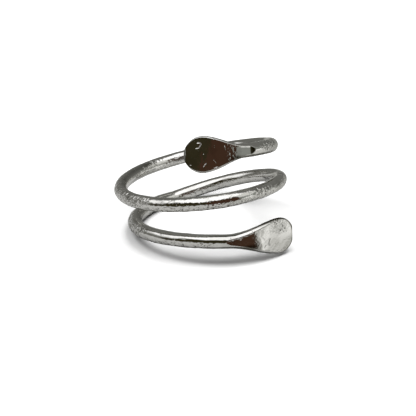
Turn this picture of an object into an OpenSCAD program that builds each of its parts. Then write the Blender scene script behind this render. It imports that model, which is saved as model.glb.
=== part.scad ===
// Spiral wrap ring: one round wire that goes a little over twice round the finger,
// with both ends hammered into flat ovals, lying on a table as it comes to rest.
// Millimetres, +Z up. The origin is the middle of the underside of the bounding box.

/* [Finger] */
// Bore that the finger goes through, about a US size 7
finger_d = 17.2; // [15:0.1:21]

/* [Wire] */
// Diameter of the round wire
wire_d = 1.6; // [1.2:0.1:2]
// Where the upper end's tip is, in degrees from the right hand side
upper_tip_angle = -100; // [-112:1:-88]
// Where the lower end's tip is, in degrees counted on over both turns
lower_tip_angle = 690; // [676:1:692]

/* [Coil] */
// Height of the upper turn's wire over the place where the lower turn lies on the table
coil_h = 11.5; // [10:0.1:13]
// Lean of the coil to the left as it lies, in degrees
lean_left = 8.5; // [4:0.5:12]
// Lean of the coil to the back as it lies, in degrees
lean_back = 11; // [6:0.5:16]

/* [Hammered ovals] */
// Width of the ovals
oval_w = 4.1; // [3.2:0.1:4.6]
// Thickness of the ovals
oval_t = 0.55; // [0.4:0.05:0.8]
// Length from a tip to the oval's widest place
tip_l = 2.1; // [1.6:0.1:2.6]
// Length from the upper tip to where the oval's sides have drawn in to the wire
upper_oval_l = 7; // [6:0.1:8]
// Length from the lower tip to where the oval's sides have drawn in to the wire
lower_oval_l = 8.5; // [7:0.1:8.6]
// Length from a tip to where its hammered faces run out on the round wire
face_l = 8.8; // [8:0.1:10]
// Tilt of the upper oval's outer face, looking up from level, in degrees
upper_tilt = 18; // [0:1:35]
// Tilt of the lower oval's outer face, looking up from level, in degrees
lower_tilt = 13; // [0:1:20]

/* [Hidden] */

silver = [0.84, 0.83, 0.81];
wire_r = wire_d / 2;
ring_r = (finger_d + wire_d) / 2;

// The wire's way round the coil, a row for each 60 degrees: its distance from the middle as a
// share of ring_r, its height as a share of coil_h, and its thickness as a share of wire_d.
// A smooth curve follows the rows. The first two and the last two lie beyond the tips.
ROW_STEP = 60;
REACH = 1;
RISE = 2;
THICK = 3;
ROUTE = [
  // angle, reach, rise, thick
  [-180, 0.86,  0.70, 1.0],
  [-120, 0.87,  0.95, 1.0],
  [ -60, 0.86,  0.99, 1.0],
  [   0, 0.88,  0.81, 1.0],
  [  60, 0.94,  0.51, 1.0],
  [ 120, 1.00,  0.31, 1.0],
  [ 180, 1.07,  0.34, 1.0],
  [ 240, 1.06,  0.51, 1.0],
  [ 300, 1.01,  0.60, 1.0],
  [ 360, 0.93,  0.48, 1.0],
  [ 420, 0.91,  0.19, 1.0],
  [ 480, 0.83, -0.04, 1.0],
  [ 540, 0.98,  0.01, 1.1],
  [ 600, 0.93,  0.15, 1.0],
  [ 660, 1.06,  0.19, 1.0],
  [ 720, 1.22,  0.03, 1.0],
  [ 780, 1.70, -0.58, 1.0],
];

// Value of a column at angle a: cubic weights of the four rows about it
function route(a, column) =
  let (t = (a - ROUTE[0][0]) / ROW_STEP, i = floor(t), f = t - i, g = 1 - f,
       weights = [g ^ 3, 3 * f ^ 3 - 6 * f ^ 2 + 4, 3 * g ^ 3 - 6 * g ^ 2 + 4, f ^ 3])
  weights * [for (row = [i - 1:i + 2]) ROUTE[row][column]] / 6;

function ease(x) = let (t = min(max(x, 0), 1)) t * t * (3 - 2 * t);
function blend(from, to, x) = from + (to - from) * ease(x);
function unit(v) = v / norm(v);

// The wire's middle at angle a and height z, with the coil's lean
function at_height(a, z) =
  let (r = ring_r * route(a, REACH))
  [r * cos(a) - z * tan(lean_left), r * sin(a) + z * tan(lean_back), z];
function free_height(a) = wire_r + coil_h * route(a, RISE);
function free_way(a) = at_height(a, free_height(a));

// Length of wire from angle a to the nearer tip, by the millimetres in a degree near that tip
end_angle = 20;
upper_end = free_way(upper_tip_angle) - free_way(upper_tip_angle + end_angle);
lower_end = free_way(lower_tip_angle) - free_way(lower_tip_angle - end_angle);
upper_mm = norm(upper_end) / end_angle;
lower_mm = norm(lower_end) / end_angle;
middle_angle = (upper_tip_angle + lower_tip_angle) / 2;
function is_upper(a) = a < middle_angle;
function to_tip(a) =
  max(0, is_upper(a) ? (a - upper_tip_angle) * upper_mm : (lower_tip_angle - a) * lower_mm);

// The wire's section at angle a: half its width, and half the depth between its hammered faces
edge_r = 0.3;
function round_off(s, l) = s < l ? sqrt(1 - (1 - s / l) ^ 2) : 1;
function side_share(a) =
  (to_tip(a) - tip_l) / ((is_upper(a) ? upper_oval_l : lower_oval_l) - tip_l);
function face_share(a) = min(max((to_tip(a) - tip_l) / (face_l - tip_l), 0), 1);
function half_w(a) = round_off(to_tip(a), tip_l) * blend(oval_w / 2, wire_r, side_share(a));
function half_t(a) =
  round_off(to_tip(a), edge_r) * (oval_t / 2 + (wire_r - oval_t / 2) * face_share(a));

// The wire lies on the table where its free way would take its edge under it
function way(a) = at_height(a, max(half_w(a) * route(a, THICK), free_height(a)));

function tilt(a) = (is_upper(a) ? upper_tilt : lower_tilt) * (1 - ease(to_tip(a) / face_l - 1));

// One section: the round wire, spread to its width and cut off by the two hammered faces
sides = 20;
function section(a) =
  let (along = unit(way(a + 0.5) - way(a - 0.5)), out = unit(cross(along, [0, 0, 1])),
       up = cross(out, along), deep = half_t(a), wide = half_w(a),
       face = out * cos(tilt(a)) + up * sin(tilt(a)),
       side = up * cos(tilt(a)) - out * sin(tilt(a)))
  [for (k = [0:sides - 1]) let (q = 360 * k / sides)
    way(a) + route(a, THICK)
      * (face * min(max(wire_r * cos(q), -deep), deep) + side * wide * sin(q))];

// Angles of the sections: close together round each tip, then even along the wire
tip_steps = 12;
wire_steps = 154;
TIP_WAY = [for (k = [1:tip_steps]) tip_l * (1 - cos(k * 90 / tip_steps))];
wire_start = upper_tip_angle + tip_l / upper_mm;
wire_end = lower_tip_angle - tip_l / lower_mm;
ANGLES = concat(
  [for (s = TIP_WAY) upper_tip_angle + s / upper_mm],
  [for (k = [1:wire_steps - 1]) wire_start + (wire_end - wire_start) * k / wire_steps],
  [for (k = [tip_steps - 1:-1:0]) lower_tip_angle - TIP_WAY[k] / lower_mm]);

// A closed skin over a row of sections, moved to put the origin under its middle
module skin(sections) {
  points = [for (s = sections) each s];
  n = len(sections[0]);
  last = len(sections) - 1;
  low = [for (axis = [0:2]) min([for (p = points) p[axis]])];
  high = [for (axis = [0:2]) max([for (p = points) p[axis]])];
  translate([-(low.x + high.x) / 2, -(low.y + high.y) / 2, -low.z])
    polyhedron(points, concat(
      [[for (k = [n - 1:-1:0]) k]],
      [for (i = [0:last - 1], k = [0:n - 1]) let (k2 = (k + 1) % n)
        [i * n + k, i * n + k2, (i + 1) * n + k2, (i + 1) * n + k]],
      [[for (k = [0:n - 1]) last * n + k]]));
}

module wrap_wire() {
  color(silver) skin([for (a = ANGLES) section(a)]);
}

wrap_wire();
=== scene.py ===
"""Looks of a spiral wrap ring: one silver wire with hammered ends, lying on a pale table.

Metres, in the frame of the CAD part: +Z up, the origin under the middle of the ring.
"""

import logging
import math
from dataclasses import dataclass
from enum import Enum
from typing import Callable, NamedTuple

import bmesh
import bpy
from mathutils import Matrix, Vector

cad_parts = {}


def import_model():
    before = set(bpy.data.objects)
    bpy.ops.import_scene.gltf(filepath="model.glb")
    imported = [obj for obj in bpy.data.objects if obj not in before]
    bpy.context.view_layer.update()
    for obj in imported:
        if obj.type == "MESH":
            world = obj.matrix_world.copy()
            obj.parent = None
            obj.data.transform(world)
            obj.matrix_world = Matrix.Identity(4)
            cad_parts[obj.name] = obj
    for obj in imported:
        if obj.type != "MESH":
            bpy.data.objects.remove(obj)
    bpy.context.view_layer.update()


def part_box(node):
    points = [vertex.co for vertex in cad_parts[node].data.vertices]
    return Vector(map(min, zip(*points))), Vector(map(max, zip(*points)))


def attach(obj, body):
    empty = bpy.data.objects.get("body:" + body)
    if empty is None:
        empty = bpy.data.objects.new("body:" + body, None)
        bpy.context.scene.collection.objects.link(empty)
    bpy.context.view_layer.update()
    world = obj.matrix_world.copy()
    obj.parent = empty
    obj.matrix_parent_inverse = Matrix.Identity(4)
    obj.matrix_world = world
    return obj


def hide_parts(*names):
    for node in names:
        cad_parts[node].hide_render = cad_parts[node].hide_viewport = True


MM = 0.001
NODE = "wrap_wire"
BODY = "root"

# What is noted on each point of the wire's mesh for its finish and its painted shade
UNWOUND = "unwound"
WEAR = "wear"
EDGE = "edge"
SATIN = "satin"
PAINTED_SHADE = "painted_shade"

# Places of a Mix node's colour sockets, whose names come up several times
FACTOR, FIRST, SECOND = 0, 6, 7
MIXED = 2

# What can feed a node's input
Source = bpy.types.Node | bpy.types.NodeSocket

log = logging.getLogger("ring")


# Shared helpers


def linear(code: str) -> tuple[float, float, float, float]:
    """Turns an sRGB colour of six hex digits into the linear one that shaders take."""
    shares = [int(code[i : i + 2], 16) / 255 for i in (0, 2, 4)]
    return (*[c / 12.92 if c <= 0.04045 else ((c + 0.055) / 1.055) ** 2.4 for c in shares], 1.0)


def ease(x: float) -> float:
    """Rises smoothly from 0 to 1 as x goes from 0 to 1."""
    t = min(max(x, 0.0), 1.0)
    return t * t * (3 - 2 * t)


def between(start: float, end: float, x: float) -> float:
    """Rises smoothly from 0 to 1 as x goes from start to end."""
    return ease((x - start) / (end - start))


def blend(start: float, end: float, x: float) -> float:
    """Goes smoothly from start to end as x goes from 0 to 1."""
    return start + (end - start) * ease(x)


def within(depth: float, soft: float) -> float:
    """Rises smoothly from 0 to 1 as the depth behind a border passes 0, over a soft width."""
    return ease(depth / soft + 0.5)


def round_off(s: float, length: float) -> float:
    """Share of the full size at s from the tip of a round end of that length."""
    return math.sqrt(1 - (1 - s / length) ** 2) if s < length else 1.0


def only(obj: bpy.types.Object) -> None:
    """Selects one object and nothing else, and makes it the active one.

    Args:
        obj: The object.
    """
    bpy.ops.object.select_all(action="DESELECT")
    obj.select_set(True)
    bpy.context.view_layer.objects.active = obj


def select_points(test: Callable[[Vector], bool]) -> None:
    """Selects the points of the mesh in edit mode whose place passes the test.

    Args:
        test: Says of a place whether its point is selected.
    """
    mesh = bmesh.from_edit_mesh(bpy.context.object.data)
    for point in mesh.verts:
        point.select_set(test(point.co))
    mesh.select_flush_mode()


def select_edges(test: Callable[[Vector, Vector], bool]) -> None:
    """Selects the edges of the mesh in edit mode whose two ends pass the test.

    Args:
        test: Says of two places whether the edge between them is selected.
    """
    mesh = bmesh.from_edit_mesh(bpy.context.object.data)
    for edge in mesh.edges:
        edge.select_set(test(edge.verts[0].co, edge.verts[1].co))
    mesh.select_flush_mode()


def add_node(
    tree: bpy.types.NodeTree,
    kind: str,
    links: dict[int | str, object] | None = None,
    **settings: object,
) -> bpy.types.Node:
    """Adds a node with its settings and links.

    Args:
        tree: The node tree that it goes in.
        kind: The node's type name.
        links: For each input's name or number, what feeds it: an output socket, a node whose
            first output is meant, or a value.
        **settings: Properties of the node.

    Returns:
        The new node.
    """
    node = tree.nodes.new(kind)
    for name, value in settings.items():
        setattr(node, name, value)
    for key, value in (links or {}).items():
        if isinstance(value, bpy.types.Node):
            value = value.outputs[0]
        if isinstance(value, bpy.types.NodeSocket):
            tree.links.new(value, node.inputs[key])
        else:
            node.inputs[key].default_value = value
    return node


def layered(
    tree: bpy.types.NodeTree, layers: tuple[tuple[Source, float], ...], start: float = 0.0
) -> bpy.types.Node:
    """Lays several patterns over each other.

    Args:
        tree: The node tree.
        layers: Each pattern, and the strength that it counts with.
        start: The value that they are added to.

    Returns:
        The node that gives their sum.
    """
    total: Source | float = start
    for pattern, strength in layers:
        links = {0: pattern, 1: strength, 2: total}
        total = add_node(tree, "ShaderNodeMath", links, operation="MULTIPLY_ADD")
    return total


# The wire's way and its hammered ends, by the sizes of the part's source


class Row(NamedTuple):
    """One row of the wire's way: shares of the ring's radius, the coil's height and the wire."""

    angle: float
    reach: float
    rise: float
    thick: float


ROUTE = (
    Row(-180, 0.86, 0.70, 1.0),
    Row(-120, 0.87, 0.95, 1.0),
    Row(-60, 0.86, 0.99, 1.0),
    Row(0, 0.88, 0.81, 1.0),
    Row(60, 0.94, 0.51, 1.0),
    Row(120, 1.00, 0.31, 1.0),
    Row(180, 1.07, 0.34, 1.0),
    Row(240, 1.06, 0.51, 1.0),
    Row(300, 1.01, 0.60, 1.0),
    Row(360, 0.93, 0.48, 1.0),
    Row(420, 0.91, 0.19, 1.0),
    Row(480, 0.83, -0.04, 1.0),
    Row(540, 0.98, 0.01, 1.1),
    Row(600, 0.93, 0.15, 1.0),
    Row(660, 1.06, 0.19, 1.0),
    Row(720, 1.22, 0.03, 1.0),
    Row(780, 1.70, -0.58, 1.0),
)


@dataclass(frozen=True)
class Oval:
    """A hammered end of the wire, measured from its tip."""

    side_length: float
    tilt: float
    width: float = 4.1 * MM
    thickness: float = 0.55 * MM
    tip_length: float = 2.1 * MM
    face_length: float = 8.8 * MM
    edge_radius: float = 0.3 * MM
    # The small step that a face ends with on the round wire
    step: float = 0.12 * MM
    step_length: float = 0.6 * MM
    # Degrees that the tip is twisted up by, and where the twist runs out
    twist: float = 0.0
    twist_length: float = 5.125 * MM
    # Painted shade along the rim, as a dark outline. At the tip it reaches in further, as if the
    # rim were nearer
    rim_painted_shade: float = 0.3
    rim_width: float = 0.11 * MM
    tip_nearness: float = 0.5
    # Painted shade on the lower half of the front, and in the corner where the face ends
    front_painted_shade: float = 0.0
    shaded_corner_height: float = 0.0
    # Length of the front that is satin instead of polished
    satin_length: float = 0.0

    def side_share(self, s: float) -> float:
        """How far the sides have drawn in to the wire, from 0 to 1, at s from the tip."""
        return (s - self.tip_length) / (self.side_length - self.tip_length)

    def half_width(self, s: float, wire: float) -> float:
        """Half the width at s from the tip of a wire of that radius."""
        full = blend(self.width / 2, wire, self.side_share(s))
        return round_off(s, self.tip_length) * full

    def half_thickness(self, s: float, wire: float) -> float:
        """Half the depth between the hammered faces.

        Args:
            s: Distance from the tip.
            wire: The round wire's radius.

        Returns:
            Half the depth, more than the radius where the faces have run out.
        """
        share = max(s - self.tip_length, 0) / (self.face_length - self.tip_length)
        start = self.face_length - self.step_length
        ramp_height = wire - self.step - self.thickness / 2
        depth = self.thickness / 2 + ramp_height * share
        depth += self.step * ease((s - start) / self.step_length)
        return round_off(s, self.edge_radius) * depth


@dataclass
class WireWay:
    """The line that the middle of the wire follows, from the upper tip to the lower one.

    Angles and leans are in degrees.
    """

    finger_diameter: float = 17.2 * MM
    wire_radius: float = 0.8 * MM
    upper_tip: float = -100
    lower_tip: float = 690
    coil_height: float = 11.5 * MM
    lean_left: float = 8.5
    lean_back: float = 11
    # Degrees at each tip over which the wire's length in a degree is taken
    end_span: float = 20
    upper: Oval = Oval(
        side_length=7 * MM,
        tilt=18,
        face_length=8.2 * MM,
        twist=12,
        shaded_corner_height=0.46 * MM,
    )
    lower: Oval = Oval(
        side_length=8.5 * MM,
        tilt=13,
        step=0.04 * MM,
        rim_painted_shade=0.9,
        rim_width=0.15 * MM,
        front_painted_shade=0.38,
        satin_length=4.9 * MM,
    )

    def value(self, angle: float, column: str) -> float:
        """Value of a column of the route at an angle, on a smooth curve along its rows.

        Args:
            angle: Degrees round the coil.
            column: The name of the column.

        Returns:
            The share at that angle.
        """
        t = (angle - ROUTE[0].angle) / (ROUTE[1].angle - ROUTE[0].angle)
        i = min(math.floor(t), len(ROUTE) - 3)
        f = t - i
        g = 1 - f
        weights = (g**3, 3 * f**3 - 6 * f**2 + 4, 3 * g**3 - 6 * g**2 + 4, f**3)
        rows = ROUTE[i - 1 : i + 3]
        return sum(w * getattr(row, column) for w, row in zip(weights, rows)) / 6

    def at_height(self, angle: float, z: float) -> Vector:
        """The wire's middle, with the coil's lean.

        Args:
            angle: Degrees round the coil.
            z: Height over the table.

        Returns:
            The place.
        """
        reach = (self.finger_diameter / 2 + self.wire_radius) * self.value(angle, "reach")
        turn = math.radians(angle)
        x = reach * math.cos(turn) - z * math.tan(math.radians(self.lean_left))
        y = reach * math.sin(turn) + z * math.tan(math.radians(self.lean_back))
        return Vector((x, y, z))

    def free_height(self, angle: float) -> float:
        """Height of the wire's middle by the route alone."""
        return self.wire_radius + self.coil_height * self.value(angle, "rise")

    def is_upper(self, angle: float) -> bool:
        """Whether the upper tip is the nearer one."""
        return angle < (self.upper_tip + self.lower_tip) / 2

    def nearer_oval(self, angle: float) -> Oval:
        """The hammered end whose tip is the nearer one."""
        return self.upper if self.is_upper(angle) else self.lower

    def to_tip(self, angle: float) -> float:
        """Length of wire from an angle to the nearer tip.

        Args:
            angle: Degrees round the coil.

        Returns:
            The length, by the metres in a degree near that tip.
        """
        tip = self.upper_tip if self.is_upper(angle) else self.lower_tip
        inner = tip + math.copysign(self.end_span, angle - tip)
        ends = [self.at_height(a, self.free_height(a)) for a in (tip, inner)]
        return abs(angle - tip) * (ends[1] - ends[0]).length / self.end_span

    def point(self, angle: float) -> Vector:
        """The wire's middle, kept up by the table where the wire lies on it.

        Args:
            angle: Degrees round the coil.

        Returns:
            The place.
        """
        half = self.nearer_oval(angle).half_width(self.to_tip(angle), self.wire_radius)
        rest = half * self.value(angle, "thick")
        return self.at_height(angle, max(rest, self.free_height(angle)))

    def tilt(self, angle: float) -> float:
        """Turn of the wire's section that lifts its outer face.

        It runs out on the round wire, over as long a way again as the hammered face.

        Args:
            angle: Degrees round the coil.

        Returns:
            The turn in radians, as a curve's point takes it.
        """
        oval, s = self.nearer_oval(angle), self.to_tip(angle)
        twisted = oval.tilt + oval.twist * max(1 - s / oval.twist_length, 0.0)
        return math.radians(twisted) * (ease(s / oval.face_length - 1) - 1)


@dataclass(frozen=True)
class Stretch:
    """A stretch of the wire that is worn or given painted shade, in metres from the upper tip.

    Its middle faces a direction round the wire in degrees: 0 is outwards, 90 up, -90 down. It
    spreads so many degrees to both sides of that, and fades out along the wire and round it.
    """

    start: float
    end: float
    side: float
    spread: float
    amount: float
    longest_fade: float = 2.5 * MM
    side_fade: float = 40

    def at(self, x: float, turn: float) -> float:
        """How much of this stretch a place has.

        Args:
            x: Distance from the upper tip.
            turn: Direction round the wire in degrees.

        Returns:
            The wear or painted shade, from 0 to the stretch's amount.
        """
        fade = min(self.longest_fade, (self.end - self.start) / 3)
        along = min(x - self.start, self.end - x) / fade
        off = abs((turn - self.side + 180) % 360 - 180)
        return self.amount * ease(along) * ease((self.spread - off) / self.side_fade)


# Where the wire is worn by use and by the hammer
WORN = (
    # start, end, side, spread, amount
    Stretch(0.0 * MM, 3.5 * MM, 0, 120, 0.1),
    Stretch(4.2 * MM, 6.0 * MM, 0, 120, 0.24),
    Stretch(8.2 * MM, 17 * MM, -10, 120, 1.0),
    Stretch(29 * MM, 38 * MM, -150, 80, 0.22),
    Stretch(32 * MM, 48 * MM, 90, 100, 0.14),
    Stretch(37 * MM, 53 * MM, -20, 115, 0.95),
    Stretch(49 * MM, 66 * MM, -60, 75, 0.8),
    Stretch(49 * MM, 62 * MM, 30, 70, 0.12),
    Stretch(62 * MM, 77 * MM, -30, 110, 0.45),
    Stretch(80 * MM, 92 * MM, -140, 75, 0.4),
    Stretch(95 * MM, 106 * MM, -30, 110, 1.15),
    Stretch(104 * MM, 115 * MM, -60, 75, 0.8),
    Stretch(119.4 * MM, 123.2 * MM, 80, 45, 0.5),
)

# Where streaks of painted shade darken the inside and the top of the left bends
PAINTED_SHADE_STREAKS = (
    # start, end, side, spread, amount
    Stretch(18 * MM, 33 * MM, 165, 30, 0.7),
    Stretch(34 * MM, 47 * MM, 115, 42, 0.5),
    Stretch(93 * MM, 103 * MM, 118, 38, 0.45),
)


# Finishes


@dataclass(frozen=True)
class PolishedSilver:
    """Sterling silver wire, drawn, hammered and polished, then dulled a little by wear.

    The polish mirrors the studio in sharp bands. Drawing lines, file marks, pits and scratches
    break up their edges, and tarnish darkens the pits and some soft patches. Painted shade,
    noted on the mesh, darkens the underside, the ovals' rims and corners and the bends' insides.

    Lengths are in millimetres. The real grain, pits and drawing lines of worn silver are a few
    hundredths of a millimetre wide. They are drawn as coarse as they need to be to show.
    """

    name: str = "polished_sterling_silver"
    colour: str = "f2f1ee"
    # The dark colour of the tarnish in pits and patches, also used for the painted shade
    tarnish_and_shade: str = "4a4632"
    roughness: float = 0.07
    satin_roughness: float = 0.14
    pit_roughness: float = 0.21
    scratch_roughness: float = 0.35
    # The fine grain that is all over the metal, and deeper where it is worn
    grain: float = 0.25
    grain_height: float = 0.010
    worn_grain_height: float = 0.09
    # Drawing lines along the wire, by their length and width
    line: tuple[float, float] = (3.0, 0.1)
    line_height: float = 0.004
    # File marks and knocks, where it is worn
    mark: tuple[float, float] = (1.3, 0.22)
    mark_slant: float = 40
    mark_height: float = 0.15
    knock: float = 0.34
    knock_height: float = 0.19
    # Flat waves that the hammer leaves on a satin front
    wave: tuple[float, float] = (3.5, 0.9)
    wave_slant: float = 35
    wave_height: float = 0.08
    # Pits, one to a cell: the shares of a cell at which one starts and is deep, and the luck
    # with which it is there at all
    pit: float = 0.34
    pit_shape: tuple[float, float] = (0.42, 0.12)
    pit_luck: tuple[float, float] = (0.3, 0.36)
    pit_depth: float = 0.06
    # Scratches: the size of their bends, the gaps between them, how far off the noise's middle
    # value their border and their core lie, and the luck with which a stretch is there
    scratch: float = 1.4
    scratch_gap: float = 1.111
    scratch_seed: float = 3.0
    scratch_shift: tuple[float, float, float] = (1.9, 0.0, -0.35)
    scratch_line: tuple[float, float] = (0.02, 0.006)
    scratch_luck: tuple[float, float] = (0.57, 0.62)
    scratch_wear: float = 0.25
    scratch_depth: float = 0.02
    # Tarnish in pits, in worn hollows by their depth, and in soft patches
    hollow_tarnish: float = 0.6
    hollow_depths: tuple[float, float] = (0.01, 0.05)
    cloud: float = 1.8
    cloud_range: tuple[float, float] = (0.48, 0.66)
    cloud_tarnish: float = 0.15

    def make(self) -> bpy.types.Material:
        """Makes the material.

        Returns:
            The material.
        """
        material = bpy.data.materials.new(self.name)
        material.use_nodes = True
        tree = material.node_tree
        shader = tree.nodes["Principled BSDF"]
        metres = add_node(tree, "ShaderNodeTexCoord").outputs["Object"]
        scale = {0: metres, 1: (1 / MM, 1 / MM, 1 / MM)}
        place = add_node(tree, "ShaderNodeVectorMath", scale, operation="MULTIPLY")
        along = add_node(tree, "ShaderNodeAttribute", attribute_name=UNWOUND).outputs["Vector"]
        wear, edge, satin, painted_shade = (
            add_node(tree, "ShaderNodeAttribute", attribute_name=name).outputs["Fac"]
            for name in (WEAR, EDGE, SATIN, PAINTED_SHADE)
        )

        links = {"Vector": place, "Scale": 1 / self.grain, "Detail": 2.0}
        grain = add_node(tree, "ShaderNodeTexNoise", links)
        lines = self.stretched(tree, along, self.line, 0.0)
        worn = self.worn(tree, place, along, grain, wear)
        waves = self.stretched(tree, along, self.wave, self.wave_slant)
        swell = add_node(tree, "ShaderNodeMath", {0: waves, 1: 0.5}, operation="SUBTRACT")
        rubbed = add_node(tree, "ShaderNodeMath", {0: swell, 1: satin}, operation="MULTIPLY")
        pits = self.pits(tree, place, wear)
        scratches = self.scratches(tree, place, wear)
        reliefs = (
            (grain, self.grain_height),
            (lines, self.line_height),
            (worn, 1.0),
            (rubbed, self.wave_height),
            (pits, -self.pit_depth),
            (scratches, -self.scratch_depth),
        )
        links = {"Height": layered(tree, reliefs), "Strength": 1.0, "Distance": MM}
        bump = add_node(tree, "ShaderNodeBump", links)
        tree.links.new(bump.outputs["Normal"], shader.inputs["Normal"])

        rough_places = (
            (satin, self.satin_roughness - self.roughness),
            (scratches, self.scratch_roughness - self.roughness),
            (edge, self.scratch_roughness - self.roughness),
            (pits, self.pit_roughness - self.roughness),
        )
        rough = layered(tree, rough_places, self.roughness)
        tree.links.new(rough.outputs[0], shader.inputs["Roughness"])

        shallow, deep = self.hollow_depths
        links = {"Value": worn, "From Min": -shallow, "From Max": -deep}
        hollows = add_node(tree, "ShaderNodeMapRange", links)
        patches = self.patches(tree, place)
        # Painted shade from the mesh's notes, and tarnish in pits, worn hollows and soft patches
        dark_places = (
            (painted_shade, 1.0),
            (pits, self.hollow_tarnish),
            (hollows, self.hollow_tarnish),
            (patches, self.cloud_tarnish),
        )
        dark = layered(tree, dark_places)
        links = {FACTOR: dark, FIRST: linear(self.colour), SECOND: linear(self.tarnish_and_shade)}
        colour = add_node(tree, "ShaderNodeMix", links, data_type="RGBA")
        tree.links.new(colour.outputs[MIXED], shader.inputs["Base Color"])
        shader.inputs["Metallic"].default_value = 1.0
        return material

    def stretched(
        self,
        tree: bpy.types.NodeTree,
        along: bpy.types.NodeSocket,
        size: tuple[float, float],
        slant: float,
    ) -> bpy.types.Node:
        """Draws fine lines on the wire.

        Args:
            tree: The node tree.
            along: The place on the unwound wire in millimetres.
            size: A line's length and width in millimetres.
            slant: The lines' angle to the wire in degrees.

        Returns:
            The node that gives the lines.
        """
        links = {"Vector": along, "Angle": math.radians(slant)}
        turned = add_node(tree, "ShaderNodeVectorRotate", links, rotation_type="Y_AXIS")
        length, width = size
        links = {0: turned, 1: (1 / length, 1 / width, 1 / width)}
        scaled = add_node(tree, "ShaderNodeVectorMath", links, operation="MULTIPLY")
        return add_node(tree, "ShaderNodeTexNoise", {"Vector": scaled, "Scale": 1.0, "Detail": 1.0})

    def worn(
        self,
        tree: bpy.types.NodeTree,
        place: bpy.types.Node,
        along: bpy.types.NodeSocket,
        grain: bpy.types.Node,
        wear: bpy.types.NodeSocket,
    ) -> bpy.types.Node:
        """Roughs up the surface where the wire is worn, as much up as down.

        Args:
            tree: The node tree.
            place: The place on the surface in millimetres.
            along: The place on the unwound wire in millimetres.
            grain: The metal's fine grain.
            wear: How worn the place is.

        Returns:
            The node that gives the height in millimetres.
        """
        links = {"Vector": place, "Scale": 1 / self.knock, "Detail": 0.5}
        layers = (
            (add_node(tree, "ShaderNodeTexNoise", links), self.knock_height),
            (self.stretched(tree, along, self.mark, self.mark_slant), self.mark_height),
            (grain, self.worn_grain_height),
        )
        middle = sum(height for _, height in layers) / 2
        height = layered(tree, layers, -middle)
        return add_node(tree, "ShaderNodeMath", {0: height, 1: wear}, operation="MULTIPLY")

    def pits(
        self, tree: bpy.types.NodeTree, place: bpy.types.Node, wear: bpy.types.NodeSocket
    ) -> bpy.types.Node:
        """Scatters round pits where the wire is worn.

        Args:
            tree: The node tree.
            place: The place on the surface in millimetres.
            wear: How worn the place is.

        Returns:
            The node that gives the pits, 1 at their bottom.
        """
        cells = add_node(tree, "ShaderNodeTexVoronoi", {"Vector": place, "Scale": 1 / self.pit})
        start, deep = self.pit_shape
        links = {"Value": cells.outputs["Distance"], "From Min": start, "From Max": deep}
        shape = add_node(tree, "ShaderNodeMapRange", links, interpolation_type="SMOOTHSTEP")
        luck = add_node(tree, "ShaderNodeSeparateXYZ", {0: cells.outputs["Color"]})
        chance = add_node(tree, "ShaderNodeMath", {0: luck, 1: wear}, operation="MULTIPLY")
        least, enough = self.pit_luck
        links = {"Value": chance, "From Min": least, "From Max": enough}
        chosen = add_node(tree, "ShaderNodeMapRange", links)
        return add_node(tree, "ShaderNodeMath", {0: shape, 1: chosen}, operation="MULTIPLY")

    def scratches(
        self, tree: bpy.types.NodeTree, place: bpy.types.Node, wear: bpy.types.NodeSocket
    ) -> bpy.types.Node:
        """Draws thin curved scratches, each a short stretch of a line, more where it is worn.

        A line runs where a soft noise passes its middle value.

        Args:
            tree: The node tree.
            place: The place on the surface in millimetres.
            wear: How worn the place is.

        Returns:
            The node that gives the scratches, 1 in their middle.
        """
        place = add_node(tree, "ShaderNodeVectorMath", {0: place, 1: self.scratch_shift})
        links = {"Vector": place, "W": self.scratch_seed, "Scale": 1 / self.scratch, "Detail": 0.5}
        bends = add_node(tree, "ShaderNodeTexNoise", links, noise_dimensions="4D")
        offset = add_node(tree, "ShaderNodeMath", {0: bends, 1: 0.5}, operation="SUBTRACT")
        away = add_node(tree, "ShaderNodeMath", {0: offset}, operation="ABSOLUTE")
        border, core = self.scratch_line
        links = {"Value": away, "From Min": border, "From Max": core}
        line = add_node(tree, "ShaderNodeMapRange", links)
        links = {"Vector": place, "W": self.scratch_seed, "Scale": 1 / self.scratch_gap}
        links["Distortion"] = 1.0
        gaps = add_node(tree, "ShaderNodeTexNoise", links, noise_dimensions="4D")
        chance = layered(tree, ((gaps, 1.0), (wear, self.scratch_wear)))
        least, enough = self.scratch_luck
        links = {"Value": chance, "From Min": least, "From Max": enough}
        shown = add_node(tree, "ShaderNodeMapRange", links)
        return add_node(tree, "ShaderNodeMath", {0: line, 1: shown}, operation="MULTIPLY")

    def patches(self, tree: bpy.types.NodeTree, place: bpy.types.Node) -> bpy.types.Node:
        """Makes soft patches of tarnish.

        Args:
            tree: The node tree.
            place: The place on the surface in millimetres.

        Returns:
            The node that gives the patches, 1 in their middle.
        """
        links = {"Vector": place, "Scale": 1 / self.cloud, "Detail": 3.0}
        clouds = add_node(tree, "ShaderNodeTexNoise", links)
        start, full = self.cloud_range
        links = {"Value": clouds, "From Min": start, "From Max": full}
        return add_node(tree, "ShaderNodeMapRange", links, interpolation_type="SMOOTHSTEP")


@dataclass(frozen=True)
class MattPaint:
    """Matt paint on a plain board, which spreads the light evenly and mirrors nothing."""

    name: str
    colour: str
    roughness: float = 0.6
    mirroring: float = 0.0

    def make(self) -> bpy.types.Material:
        """Makes the material.

        Returns:
            The material.
        """
        material = bpy.data.materials.new(self.name)
        material.use_nodes = True
        shader = material.node_tree.nodes["Principled BSDF"]
        shader.inputs["Base Color"].default_value = linear(self.colour)
        shader.inputs["Roughness"].default_value = self.roughness
        shader.inputs["Specular IOR Level"].default_value = self.mirroring
        return material


# The ring


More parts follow.
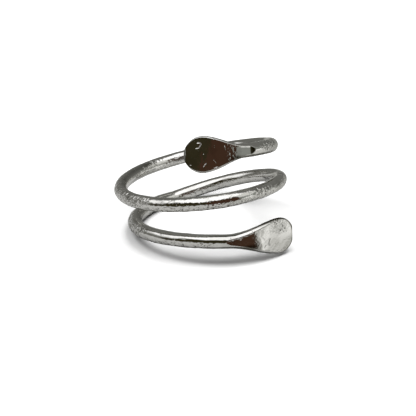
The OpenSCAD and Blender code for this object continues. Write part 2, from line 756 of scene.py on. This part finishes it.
@dataclass
class WrapWire:
    """The ring's one wire: made straight, hammered flat at both ends, then wound."""

    way: WireWay
    sides: int = 64
    # Steps between the rings of points on the hammered ends and on the round wire, the number
    # of rings on each round tip, and the number of steps on the line that the wire is wound on
    station_step: float = 0.12 * MM
    ring_step: float = 0.12 * MM
    tip_stations: int = 24
    way_steps: int = 790
    # The burr along the borders of the hammered faces
    edge_width: float = 0.1 * MM
    burr: float = 0.03 * MM
    # Soft hollows all over and small dents where it is worn, by their width and depth
    hollows: tuple[float, float] = (2.4 * MM, 0.075 * MM)
    dents: tuple[float, float] = (0.55 * MM, 0.07 * MM)
    satin_fade: float = 0.6 * MM
    # Painted shade on the underside, between two directions round the wire in degrees
    underside_painted_shade: float = 0.85
    underside: tuple[float, float] = (-120, -32)
    underside_fade: float = 20
    # Where the ovals' own painted shade gives way to the wire's, from the end of their round part
    neck_fade: float = 2 * MM
    # How the painted shade on an oval's front comes in, downwards and towards the tip
    front_down: tuple[float, float] = (1.0 * MM, -1.4 * MM)
    front_ahead: tuple[float, float] = (5.5 * MM, 1.5 * MM)
    corner_soft: float = 0.1 * MM

    def build(self) -> bpy.types.Object:
        """Builds the wire and winds it on its way.

        Returns:
            The finished piece.
        """
        line = self.wind_line()
        length = self.line_length(line)
        wire = self.straight_wire(length)
        self.divide_middle(length)
        bpy.ops.object.mode_set(mode="OBJECT")
        wear = self.mark_surface(wire, length)
        only(wire)
        self.dent(wire, "hollows", self.hollows)
        self.dent(wire, "dents", self.dents, wear)
        modifier = wire.modifiers.new("wind", "CURVE")
        modifier.object = line
        modifier.deform_axis = "POS_X"
        bpy.ops.object.modifier_apply(modifier=modifier.name)
        bpy.data.objects.remove(line)
        bpy.ops.object.shade_smooth()
        self.settle(wire)
        return wire

    def wind_line(self) -> bpy.types.Object:
        """Makes the curve that the straight wire is wound on.

        Returns:
            The curve, with the wire's thickness and tilt at each point.
        """
        data = bpy.data.curves.new("wind_line", "CURVE")
        data.dimensions = "3D"
        data.twist_mode = "Z_UP"
        data.use_radius = True
        spline = data.splines.new("POLY")
        spline.points.add(self.way_steps)
        start, end = self.way.upper_tip, self.way.lower_tip
        for k, point in enumerate(spline.points):
            angle = start + (end - start) * k / self.way_steps
            point.co = (*self.way.point(angle), 1)
            point.radius = self.way.value(angle, "thick")
            point.tilt = self.way.tilt(angle)
        line = bpy.data.objects.new("wind_line", data)
        bpy.context.scene.collection.objects.link(line)
        return line

    def line_length(self, line: bpy.types.Object) -> float:
        """Length of the curve from tip to tip."""
        places = [Vector(p.co[:3]) for p in line.data.splines[0].points]
        return sum((b - a).length for a, b in zip(places, places[1:]))

    def stations(self, oval: Oval) -> list[float]:
        """Distances from the tip of the rings that shape one hammered end, the tip last.

        Args:
            oval: The hammered end.

        Returns:
            The distances, from the round wire to the tip.
        """
        count = round((oval.face_length - oval.tip_length) / self.station_step)
        taper = [
            oval.tip_length + (oval.face_length - oval.tip_length) * k / count
            for k in range(count - 1, -1, -1)
        ]
        tip = [
            oval.tip_length * (1 - math.cos(math.pi / 2 * k / self.tip_stations))
            for k in range(self.tip_stations - 1, 0, -1)
        ]
        return taper + tip

    def straight_wire(self, length: float) -> bpy.types.Object:
        """Makes the wire straight along X, with its ends hammered, and leaves it in edit mode.

        Args:
            length: Length from tip to tip.

        Returns:
            The wire, with only long faces between its two ends.
        """
        start, end = self.way.upper.face_length, length - self.way.lower.face_length
        bpy.ops.object.select_all(action="DESELECT")
        bpy.ops.mesh.primitive_cylinder_add(
            vertices=self.sides,
            radius=self.way.wire_radius,
            depth=end - start,
            end_fill_type="NOTHING",
            location=((start + end) / 2, 0, 0),
            rotation=(0, math.pi / 2, 0),
        )
        wire = bpy.context.object
        wire.name = wire.data.name = NODE + "_silver"
        bpy.ops.object.transform_apply(location=True, rotation=True, scale=True)
        bpy.ops.object.mode_set(mode="EDIT")
        bpy.ops.mesh.select_mode(type="VERT")
        self.hammer_end(self.way.upper, 0.0, 1.0)
        self.hammer_end(self.way.lower, length, -1.0)
        return wire

    def hammer_end(self, oval: Oval, tip: float, inward: float) -> None:
        """Draws one end of the wire out to its tip ring by ring, then hammers its two faces.

        Args:
            oval: The hammered end.
            tip: Place of its tip along X.
            inward: 1 if the wire goes on towards +X from the tip, -1 if towards -X.
        """
        radius = self.way.wire_radius
        end = tip + inward * oval.face_length
        # The points of a ring are found by how near to its place they lie
        near = self.station_step / 4
        select_points(lambda p: abs(p.x - end) < near)
        place, width = end, radius
        for s in self.stations(oval):
            x, new_width = tip + inward * s, oval.half_width(s, radius)
            bpy.ops.mesh.extrude_region_move(TRANSFORM_OT_translate={"value": (x - place, 0, 0)})
            bpy.ops.transform.resize(value=(1, 1, new_width / width), center_override=(x, 0, 0))
            place, width = x, new_width
        bpy.ops.mesh.edge_face_add()
        for s in self.stations(oval):
            x, half = tip + inward * s, oval.half_thickness(s, radius)
            for side in (-1, 1):
                select_points(lambda p: abs(p.x - x) < near / 2 and p.y * side > half)
                bpy.ops.transform.resize(value=(1, 0, 1), center_override=(x, side * half, 0))

    def divide_middle(self, length: float) -> None:
        """Divides the long faces between the ends into short ones that can be wound.

        Args:
            length: Length of the wire from tip to tip.
        """
        ends = self.way.upper.face_length + self.way.lower.face_length
        total = (length - ends) / self.ring_step
        # In two rounds, because one makes 100 cuts at most
        first = round(math.sqrt(total))
        bpy.ops.mesh.select_mode(type="EDGE")
        for cuts in (first, round(total / first)):
            select_edges(lambda a, b: abs(a.x - b.x) > 2 * self.ring_step)
            bpy.ops.mesh.subdivide(number_cuts=cuts - 1)

    def from_tips(self, x: float, length: float) -> tuple[tuple[Oval, float], ...]:
        """Both hammered ends, each with the distance of a place along X from its tip."""
        return (self.way.upper, x), (self.way.lower, length - x)

    def mark_surface(self, wire: bpy.types.Object, length: float) -> list[float]:
        """Notes where each point lies on the straight wire and how its surface is there.

        The borders of the hammered faces get the small burr that hammering leaves.

        Args:
            wire: The straight wire.
            length: Its length.

        Returns:
            How worn each point is.
        """
        mesh = wire.data
        places, wear, edge, satin, painted_shade = [], [], [], [], []
        for vertex in mesh.vertices:
            x, y, z = vertex.co
            turn = math.degrees(math.atan2(z, -y))
            places.extend((x / MM, y / MM, z / MM))
            wear.append(max(stretch.at(x, turn) for stretch in WORN))
            edge.append(self.edge_share(vertex.co, length))
            satin.append(self.satin_share(x, length))
            painted_shade.append(self.painted_shade(vertex.co, length))
            vertex.co.y += math.copysign(self.burr * edge[-1], y)
        attribute = mesh.attributes.new(UNWOUND, "FLOAT_VECTOR", "POINT")
        attribute.data.foreach_set("vector", places)
        for name, values in ((WEAR, wear), (EDGE, edge), (SATIN, satin), (PAINTED_SHADE, painted_shade)):
            mesh.attributes.new(name, "FLOAT", "POINT").data.foreach_set("value", values)
        return wear

    def satin_share(self, x: float, length: float) -> float:
        """How satin the surface is at a place along X, from 0 to 1."""
        ends = self.from_tips(x, length)
        return max(ease((oval.satin_length - s) / self.satin_fade) for oval, s in ends)

    def edge_share(self, place: Vector, length: float) -> float:
        """How close a point of the straight wire lies to the border of a hammered face.

        Args:
            place: The point.
            length: The wire's length.

        Returns:
            1 on the border, and 0 from the edge's width off it.
        """
        radius = self.way.wire_radius
        for oval, s in self.from_tips(place.x, length):
            if oval.tip_length / 2 < s < oval.face_length:
                depth = min(oval.half_thickness(s, radius), radius)
                border = oval.half_width(s, radius) * math.sqrt(1 - (depth / radius) ** 2)
                return max(0.0, 1 - abs(abs(place.z) - border) / self.edge_width)
        return 0.0

    def painted_shade(self, place: Vector, length: float) -> float:
        """How much painted shade a point of the straight wire gets.

        The outside is left bright. Painted shade lies on the underside, on the ovals' rims and in
        dark streaks on the bends.

        Args:
            place: The point.
            length: The wire's length.

        Returns:
            The painted shade, from 0 to 1.
        """
        turn = math.degrees(math.atan2(place.z, -place.y))
        # Painted shade on the underside
        lowest, highest = self.underside
        fade = self.underside_fade
        underside = self.underside_painted_shade * between(highest, highest - fade, turn)
        underside *= between(lowest, lowest + fade, turn)
        for oval, s in self.from_tips(place.x, length):
            if s < oval.face_length:
                neck = ease((s - 2 * oval.tip_length) / self.neck_fade)
                return max(self.oval_painted_shade(oval, s, place, 1 - neck), underside * neck)
        # Painted shade in streaks on the insides of the bends
        return max(underside, *(stretch.at(place.x, turn) for stretch in PAINTED_SHADE_STREAKS))

    def oval_painted_shade(self, oval: Oval, s: float, place: Vector, rim_share: float) -> float:
        """How much painted shade a point of a hammered end gets.

        Args:
            oval: The hammered end.
            s: The point's distance from its tip.
            place: The point.
            rim_share: How much of the rim's painted shade is left there.

        Returns:
            The painted shade, from 0 to 1.
        """
        # Painted shade along the rim, as a dark outline
        rim = max(oval.half_width(s, self.way.wire_radius) - abs(place.z), 0)
        if s < oval.tip_length:
            across, ahead = place.z / (oval.width / 2), 1 - s / oval.tip_length
            rim = (1 - math.hypot(across, ahead)) * oval.width / 2
            rim *= 1 - oval.tip_nearness * ahead
        painted_shade = oval.rim_painted_shade * within(oval.rim_width - rim, oval.rim_width) * rim_share
        if place.y < 0:
            # Painted shade on the lower half of the front, growing towards the tip
            low = between(*self.front_down, place.z) * between(*self.front_ahead, s)
            painted_shade = max(painted_shade, oval.front_painted_shade * low)
            # Painted shade in the corner where the face ends
            corner = (oval.face_length - s) / oval.step_length
            if oval.shaded_corner_height and corner < 1:
                reach = oval.shaded_corner_height * math.sqrt(corner)
                painted_shade = max(painted_shade, within(reach - abs(place.z), self.corner_soft))
        return painted_shade

    def dent(
        self,
        wire: bpy.types.Object,
        name: str,
        size: tuple[float, float],
        shares: list[float] | None = None,
    ) -> None:
        """Dents the straight wire with an even noise.

        Args:
            wire: The straight wire, the active object.
            name: Name of the dents.
            size: The dents' width and depth.
            shares: How much of the depth each point gets, or None for all of it.
        """
        texture = bpy.data.textures.new(name, "CLOUDS")
        texture.noise_scale, depth = size
        modifier = wire.modifiers.new(name, "DISPLACE")
        modifier.texture = texture
        modifier.texture_coords = "LOCAL"
        modifier.strength = depth
        if shares is not None:
            group = wire.vertex_groups.new(name=name)
            for index, share in enumerate(shares):
                group.add([index], share, "REPLACE")
            modifier.vertex_group = group.name
        bpy.ops.object.modifier_apply(modifier=modifier.name)

    def settle(self, wire: bpy.types.Object) -> None:
        """Moves the mesh to the place of the CAD node, on its box's middle and underside.

        Args:
            wire: The wound wire.
        """
        low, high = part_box(NODE)
        places = [v.co for v in wire.data.vertices]
        mine = [(min(p[i] for p in places), max(p[i] for p in places)) for i in range(3)]
        move = [
            (low.x + high.x - sum(mine[0])) / 2,
            (low.y + high.y - sum(mine[1])) / 2,
            low.z - mine[2][0],
        ]
        only(wire)
        bpy.ops.object.mode_set(mode="EDIT")
        bpy.ops.mesh.select_all(action="SELECT")
        bpy.ops.transform.translate(value=move)
        bpy.ops.mesh.normals_make_consistent(inside=False)
        bpy.ops.object.mode_set(mode="OBJECT")

    def dress(self, wire: bpy.types.Object, silver: bpy.types.Material) -> None:
        """Gives the wire its finish and its place in the frame.

        Args:
            wire: The finished piece.
            silver: Its material.
        """
        wire.data.materials.append(silver)
        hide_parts(NODE)
        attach(wire, BODY)


# The studio


class Viewer(Enum):
    """What sees a sheet on the studio's floor."""

    CAMERA = "camera"
    SILVER = "silver"


class Borders(NamedTuple):
    """The borders of a sheet on the floor."""

    left: float
    right: float
    front: float
    back: float


class Panel(NamedTuple):
    """A part of the room's walls that the silver mirrors, in degrees as seen from the ring.

    Directions go round from the camera's, to the right with plus, and up from level.
    """

    colour: str
    left: float
    right: float
    low: float
    high: float
    soft: float = 4


@dataclass
class Studio:
    """The table, the lamp over it, the room round it and the camera."""

    table: Borders = Borders(-1.5, 1.5, -1.5, 1.5)
    table_paint: MattPaint = MattPaint("white_table", "919191")
    card: Borders = Borders(-60 * MM, 14 * MM, -100 * MM, 25 * MM)
    card_paint: MattPaint = MattPaint("grey_card", "5a5a59")
    lamp_size: tuple[float, float] = (1.6, 0.64)
    lamp_place: tuple[float, float, float] = (-0.24, 0.0, 0.8)
    lamp_power: float = 48.0
    room: str = "6a6a66"
    panels: tuple[Panel, ...] = (
        # The floor beyond the card, and its brighter right side
        Panel("a6a6a1", -200, 200, -90, -8),
        Panel("c6c6c2", 76, 122, -90, -12, 8),
        # The dim left side, the light over it and the border of that light
        Panel("6e6e69", -112, -60, -90, 30, 8),
        Panel("ffffff", -118, -60, 27, 90, 18),
        Panel("a0a09c", -62, -44, 22, 90, 8),
        # The right side, the light over it and the bright strip at its foot
        Panel("848681", 54, 108, -12, 30),
        Panel("d4d4d0", 54, 104, 26, 90, 6),
        Panel("bcbcb8", 55, 110, -12, 2),
        Panel("f0f0ed", 61, 110, -12, 1, 6),
        # The dark side behind the camera, and its brown part
        Panel("2f2b1c", -70, -52, -90, 14, 6),
        Panel("2f2b1c", -58, -40, -90, 29, 6),
        Panel("2f2b1c", -46, 54, -10, 46, 3),
        Panel("3e2b20", 9, 53, -10, 39, 3),
    )
    # The bright ceiling starts between two heights, which are lower to the front by the slope
    ceiling_strength: float = 1.2
    ceiling_slope: float = 0.158
    ceiling_start: tuple[float, float] = (0.82, 0.877)
    camera_distance: float = 150 * MM
    camera_elevation: float = 25
    camera_aim: tuple[float, float, float] = (0.675 * MM, 0.0, 2.375 * MM)
    lens: float = 109.8
    sensor: float = 36.0

    def add_table(self) -> None:
        """Lays the table under the ring, and the greyer card that the silver mirrors for it."""
        # The pictured table is clear white, but what the metal mirrors of it is greyer and ends
        # close to the ring. So the camera sees the one, and the mirroring metal the other.
        self.add_sheet("table", self.table, self.table_paint, Viewer.CAMERA)
        self.add_sheet("card", self.card, self.card_paint, Viewer.SILVER)

    def add_sheet(self, name: str, borders: Borders, paint: MattPaint, viewer: Viewer) -> None:
        """Lays a flat sheet on the floor.

        Args:
            name: Its name.
            borders: Its borders.
            paint: Its finish.
            viewer: What sees it.
        """
        left, right, front, back = borders
        bpy.ops.object.select_all(action="DESELECT")
        middle = ((left + right) / 2, (front + back) / 2, 0)
        bpy.ops.mesh.primitive_plane_add(size=1, location=middle)
        sheet = bpy.context.object
        sheet.name = name
        sheet.scale = (right - left, back - front, 1)
        sheet.data.materials.append(paint.make())
        sheet.visible_camera = viewer is Viewer.CAMERA
        sheet.visible_glossy = viewer is Viewer.SILVER
        sheet.visible_diffuse = False
        sheet.visible_shadow = False

    def add_lamp(self) -> None:
        """Hangs a soft lamp over the ring, which the silver doesn't mirror as a shape."""
        data = bpy.data.lights.new("lamp", "AREA")
        data.shape = "RECTANGLE"
        data.size, data.size_y = self.lamp_size
        data.energy = self.lamp_power
        lamp = bpy.data.objects.new("lamp", data)
        lamp.location = self.lamp_place
        lamp.visible_glossy = False
        bpy.context.scene.collection.objects.link(lamp)

    def add_surroundings(self) -> None:
        """Makes the room round the table, which the silver mirrors."""
        world = bpy.data.worlds.new("room")
        world.use_nodes = True
        bpy.context.scene.world = world
        tree = world.node_tree
        view = add_node(tree, "ShaderNodeTexCoord")
        parts = add_node(tree, "ShaderNodeSeparateXYZ", {0: view.outputs["Object"]})
        links = {0: parts.outputs["Y"], 1: -1.0}
        front = add_node(tree, "ShaderNodeMath", links, operation="MULTIPLY")
        turn = add_node(tree, "ShaderNodeMath", {0: parts, 1: front}, operation="ARCTAN2")
        rise = add_node(tree, "ShaderNodeMath", {0: parts.outputs["Z"]}, operation="ARCSINE")
        colour: bpy.types.NodeSocket | tuple = linear(self.room)
        for panel in self.panels:
            share = self.panel_share(tree, panel, turn, rise)
            links = {FACTOR: share, FIRST: colour, SECOND: linear(panel.colour)}
            colour = add_node(tree, "ShaderNodeMix", links, data_type="RGBA").outputs[MIXED]
        links = {0: front, 1: self.ceiling_slope, 2: parts.outputs["Z"]}
        height = add_node(tree, "ShaderNodeMath", links, operation="MULTIPLY_ADD")
        low, high = self.ceiling_start
        links = {"Value": height, "From Min": low, "From Max": high}
        start = add_node(tree, "ShaderNodeMapRange", links)
        links = {FACTOR: start, FIRST: colour, SECOND: (*[self.ceiling_strength] * 3, 1.0)}
        whole = add_node(tree, "ShaderNodeMix", links, data_type="RGBA")
        tree.links.new(whole.outputs[MIXED], tree.nodes["Background"].inputs["Color"])

    def panel_share(
        self,
        tree: bpy.types.NodeTree,
        panel: Panel,
        turn: bpy.types.Node,
        rise: bpy.types.Node,
    ) -> bpy.types.Node:
        """How much of a panel is seen in a direction.

        Args:
            tree: The node tree.
            panel: The panel.
            turn: The direction's turn from the camera's, in radians.
            rise: Its rise over level, in radians.

        Returns:
            The node that gives the share.
        """
        share: bpy.types.Node | float = 1.0
        for way, border, inwards in (
            (turn, panel.left, 1),
            (turn, panel.right, -1),
            (rise, panel.low, 1),
            (rise, panel.high, -1),
        ):
            half = inwards * panel.soft / 2
            links = {
                "Value": way,
                "From Min": math.radians(border - half),
                "From Max": math.radians(border + half),
                "To Max": share,
            }
            share = add_node(tree, "ShaderNodeMapRange", links, interpolation_type="SMOOTHSTEP")
        return share

    def add_camera(self) -> None:
        """Sets the camera where the photo was taken from."""
        data = bpy.data.cameras.new("camera")
        data.lens = self.lens
        data.sensor_width = self.sensor
        data.clip_start = MM
        camera = bpy.data.objects.new("camera", data)
        tilt = math.radians(self.camera_elevation)
        back = Vector((0, -math.cos(tilt), math.sin(tilt))) * self.camera_distance
        camera.location = Vector(self.camera_aim) + back
        camera.rotation_euler = (math.pi / 2 - tilt, 0, 0)
        bpy.context.scene.collection.objects.link(camera)
        bpy.context.scene.camera = camera

    def build(self) -> None:
        """Builds the whole studio."""
        self.add_table()
        self.add_lamp()
        self.add_surroundings()
        self.add_camera()
        bpy.context.scene.view_settings.view_transform = "Standard"


def main() -> None:
    """Builds the studio and the ring."""
    logging.basicConfig(level=logging.INFO, format="%(name)s: %(message)s")
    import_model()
    Studio().build()
    maker = WrapWire(WireWay())
    wire = maker.build()
    maker.dress(wire, PolishedSilver().make())
    log.info("%s: %d faces", wire.name, len(wire.data.polygons))


if __name__ == "__main__":
    main()
